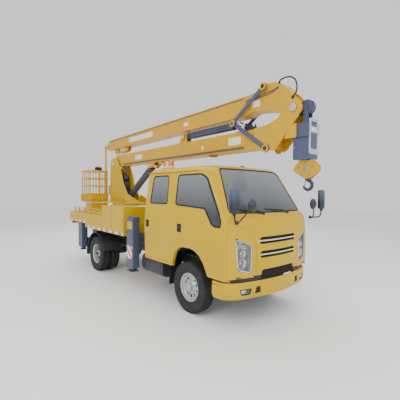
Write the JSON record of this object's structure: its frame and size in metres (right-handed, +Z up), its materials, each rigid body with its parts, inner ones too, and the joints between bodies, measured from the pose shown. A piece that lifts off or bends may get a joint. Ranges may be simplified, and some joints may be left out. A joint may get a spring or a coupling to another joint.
{
  "type": "truck-mounted boom lift",
  "caption": "Yellow crew-cab truck with a turntable, two folded booms, a work basket beside the boom tip, a hoist with a hook at the elbow, and jacks",
  "frame": {"origin": "middle of the bounding box at ground level", "axes": "+X towards the truck's front, +Y to its left, +Z up"},
  "size_m": [6.77, 2.176, 3.403],
  "materials": {
    "yellow": "gloss yellow paint",
    "orange": "gloss orange paint",
    "black": "satin blue-black chassis paint",
    "grey": "satin blue-grey paint",
    "rubber": "tyre rubber",
    "rim": "silver wheel paint",
    "glass": "tinted window glass",
    "trim": "grained dark plastic",
    "seat": "dark seat cloth",
    "lamp": "clear lamp lens",
    "cast": "bare cast iron",
    "chrome": "polished cylinder rod"
  },
  "bodies": {
    "chassis": {"chassis_frame": "black", "front_axle": "black", "rear_axle": "black", "drive_line": "black", "engine_block": "cast", "fuel_tank": "black", "cab_shell": "yellow", "front_panel": "yellow", "windscreen": "glass", "bumper": "yellow", "headlamp_right": "lamp", "headlamp_left": "lamp", "mirror_right": "trim", "mirror_left": "trim", "rear_bench": "seat", "front_seats": "seat", "dashboard": "trim", "rear_deck": "yellow", "equipment_box": "yellow", "slew_pedestal": "yellow", "front_jack_housing": "black", "rear_jack_housing": "black"},
    "knuckle_right_body": {"knuckle_right": "cast"},
    "front_wheel_right": {"front_tyre_right": "rubber", "front_rim_right": "rim"},
    "rear_wheels_right": {"rear_tyres_right": "rubber", "rear_rims_right": "rim"},
    "front_door_right_body": {"front_door_right": "yellow"},
    "rear_door_right_body": {"rear_door_right": "yellow"},
    "jack_arm_right": {"front_jack_arm_right": "black"},
    "front_leg_right": {"front_jack_leg_right": "black"},
    "rear_leg_right": {"rear_jack_leg_right": "black"},
    "knuckle_left_body": {"knuckle_left": "cast"},
    "front_wheel_left": {"front_tyre_left": "rubber", "front_rim_left": "rim"},
    "rear_wheels_left": {"rear_tyres_left": "rubber", "rear_rims_left": "rim"},
    "front_door_left_body": {"front_door_left": "yellow"},
    "rear_door_left_body": {"rear_door_left": "yellow"},
    "jack_arm_left": {"front_jack_arm_left": "black"},
    "front_leg_left": {"front_jack_leg_left": "black"},
    "rear_leg_left": {"rear_jack_leg_left": "black"},
    "turntable": {"turret": "yellow", "valve_block": "grey"},
    "low_boom": {"lower_boom": "yellow"},
    "elbow": {"elbow_pin": "cast", "hoist": "grey"},
    "high_boom": {"upper_boom": "yellow"},
    "low_links": {"lower_link_right": "grey", "lower_link_left": "grey"},
    "high_links": {"upper_link_right": "grey", "upper_link_left": "grey"},
    "lift_tube": {"lift_barrel": "grey"},
    "lift_ram": {"lift_rod": "chrome"},
    "elbow_tube": {"elbow_barrel": "grey"},
    "elbow_ram": {"elbow_rod": "chrome"},
    "tip": {"tip_pin": "cast"},
    "cage": {"basket": "orange"},
    "hook": {"hook_block": "orange"}
  },
  "joints": [
    {"name": "steer_right", "type": "hinge", "parent": "chassis", "child": "knuckle_right_body", "pos_m": [1.795, -0.64, 0.388], "axis": [0, 0, 1], "range_deg": [-33, 33]},
    {"name": "front_wheel_right_turn", "type": "hinge", "parent": "knuckle_right_body", "child": "front_wheel_right", "pos_m": [1.795, -0.783, 0.388], "axis": [0, 1, 0], "continuous": true},
    {"name": "rear_wheels_right_turn", "type": "hinge", "parent": "chassis", "child": "rear_wheels_right", "pos_m": [-1.565, -0.755, 0.388], "axis": [0, 1, 0], "continuous": true},
    {"name": "front_door_right_hinge", "type": "hinge", "parent": "chassis", "child": "front_door_right_body", "pos_m": [2.63, -0.92, 1], "axis": [0, 0, 1], "range_deg": [0, 70]},
    {"name": "rear_door_right_hinge", "type": "hinge", "parent": "chassis", "child": "rear_door_right_body", "pos_m": [1.378, -0.934, 1], "axis": [0, 0, 1], "range_deg": [0, 70]},
    {"name": "jack_arm_right_slide", "type": "slide", "parent": "chassis", "child": "jack_arm_right", "axis": [0, -1, 0], "range_m": [0, 0.6]},
    {"name": "front_leg_right_slide", "type": "slide", "parent": "jack_arm_right", "child": "front_leg_right", "axis": [0, 0, -1], "range_m": [0, 0.36]},
    {"name": "rear_leg_right_slide", "type": "slide", "parent": "chassis", "child": "rear_leg_right", "axis": [0, 0, -1], "range_m": [0, 0.39]},
    {"name": "steer_left", "type": "hinge", "parent": "chassis", "child": "knuckle_left_body", "pos_m": [1.795, 0.64, 0.388], "axis": [0, 0, 1], "range_deg": [-33, 33]},
    {"name": "front_wheel_left_turn", "type": "hinge", "parent": "knuckle_left_body", "child": "front_wheel_left", "pos_m": [1.795, 0.783, 0.388], "axis": [0, 1, 0], "continuous": true},
    {"name": "rear_wheels_left_turn", "type": "hinge", "parent": "chassis", "child": "rear_wheels_left", "pos_m": [-1.565, 0.755, 0.388], "axis": [0, 1, 0], "continuous": true},
    {"name": "front_door_left_hinge", "type": "hinge", "parent": "chassis", "child": "front_door_left_body", "pos_m": [2.63, 0.92, 1], "axis": [0, 0, -1], "range_deg": [0, 70]},
    {"name": "rear_door_left_hinge", "type": "hinge", "parent": "chassis", "child": "rear_door_left_body", "pos_m": [1.378, 0.934, 1], "axis": [0, 0, -1], "range_deg": [0, 70]},
    {"name": "jack_arm_left_slide", "type": "slide", "parent": "chassis", "child": "jack_arm_left", "axis": [0, 1, 0], "range_m": [0, 0.6]},
    {"name": "front_leg_left_slide", "type": "slide", "parent": "jack_arm_left", "child": "front_leg_left", "axis": [0, 0, -1], "range_m": [0, 0.36]},
    {"name": "rear_leg_left_slide", "type": "slide", "parent": "chassis", "child": "rear_leg_left", "axis": [0, 0, -1], "range_m": [0, 0.39]},
    {"name": "slew", "type": "hinge", "parent": "chassis", "child": "turntable", "pos_m": [-1.755, 0, 1.532], "axis": [0, 0, 1], "continuous": true},
    {"name": "lower_boom_lift", "type": "hinge", "parent": "turntable", "child": "low_boom", "pos_m": [-2.325, 0, 2.54], "axis": [0, -1, 0], "range_deg": [0, 75]},
    {"name": "lift_tube_swing", "type": "hinge", "parent": "turntable", "child": "lift_tube", "pos_m": [-1.76, 0, 1.69], "axis": [0, -1, 0], "range_deg": [0, 60]},
    {"name": "lift_ram_slide", "type": "slide", "parent": "lift_tube", "child": "lift_ram", "axis": [0.8389, 0, 0.5443], "range_m": [0, 1.13]},
    {"name": "elbow_pin_turn", "type": "hinge", "parent": "low_boom", "child": "elbow", "pos_m": [3.085, 0, 2.955], "axis": [0, 1, 0], "range_deg": [0, 14]},
    {"name": "upper_boom_fold", "type": "hinge", "parent": "elbow", "child": "high_boom", "pos_m": [3.085, 0, 2.955], "axis": [0, 1, 0], "range_deg": [0, 135]},
    {"name": "low_links_swing", "type": "hinge", "parent": "low_boom", "child": "low_links", "pos_m": [2.64, 0, 2.462], "axis": [0, 1, 0], "range_deg": [0, 90]},
    {"name": "high_links_swing", "type": "hinge", "parent": "high_boom", "child": "high_links", "pos_m": [2.601, 0, 3.345], "axis": [0, 1, 0], "range_deg": [-95, 0]},
    {"name": "elbow_tube_swing", "type": "hinge", "parent": "low_boom", "child": "elbow_tube", "pos_m": [0.555, 0, 2.902], "axis": [0, 1, 0], "range_deg": [-9, 0]},
    {"name": "elbow_ram_slide", "type": "slide", "parent": "elbow_tube", "child": "elbow_ram", "axis": [1, 0, 0.0069], "range_m": [0, 1.06]},
    {"name": "tip_pin_turn", "type": "hinge", "parent": "high_boom", "child": "tip", "pos_m": [-2.95, 0, 3.06], "axis": [0, 1, 0], "range_deg": [-139, 0]},
    {"name": "basket_level", "type": "hinge", "parent": "tip", "child": "cage", "pos_m": [-2.95, 0, 3.06], "axis": [0, 1, 0], "range_deg": [0, 63]},
    {"name": "hook_lower", "type": "slide", "parent": "elbow", "child": "hook", "axis": [0, 0, -1], "range_m": [0, 0.45]}
  ],
  "couplings": [
    {"joint": "steer_left", "follows": "steer_right", "ratio": 1},
    {"joint": "lift_tube_swing", "follows": "lower_boom_lift", "ratio": 0.7639},
    {"joint": "lift_ram_slide", "follows": "lower_boom_lift", "m_per_rad": 0.8482},
    {"joint": "elbow_pin_turn", "follows": "lower_boom_lift", "ratio": 0.18},
    {"joint": "low_links_swing", "follows": "upper_boom_fold", "ratio": 0.63},
    {"joint": "high_links_swing", "follows": "upper_boom_fold", "ratio": -0.69},
    {"joint": "elbow_tube_swing", "follows": "upper_boom_fold", "ratio": -0.06},
    {"joint": "elbow_ram_slide", "follows": "upper_boom_fold", "m_per_rad": 0.444},
    {"joint": "tip_pin_turn", "follows": "upper_boom_fold", "ratio": -1},
    {"joint": "basket_level", "follows": "lower_boom_lift", "ratio": 0.82}
  ]
}
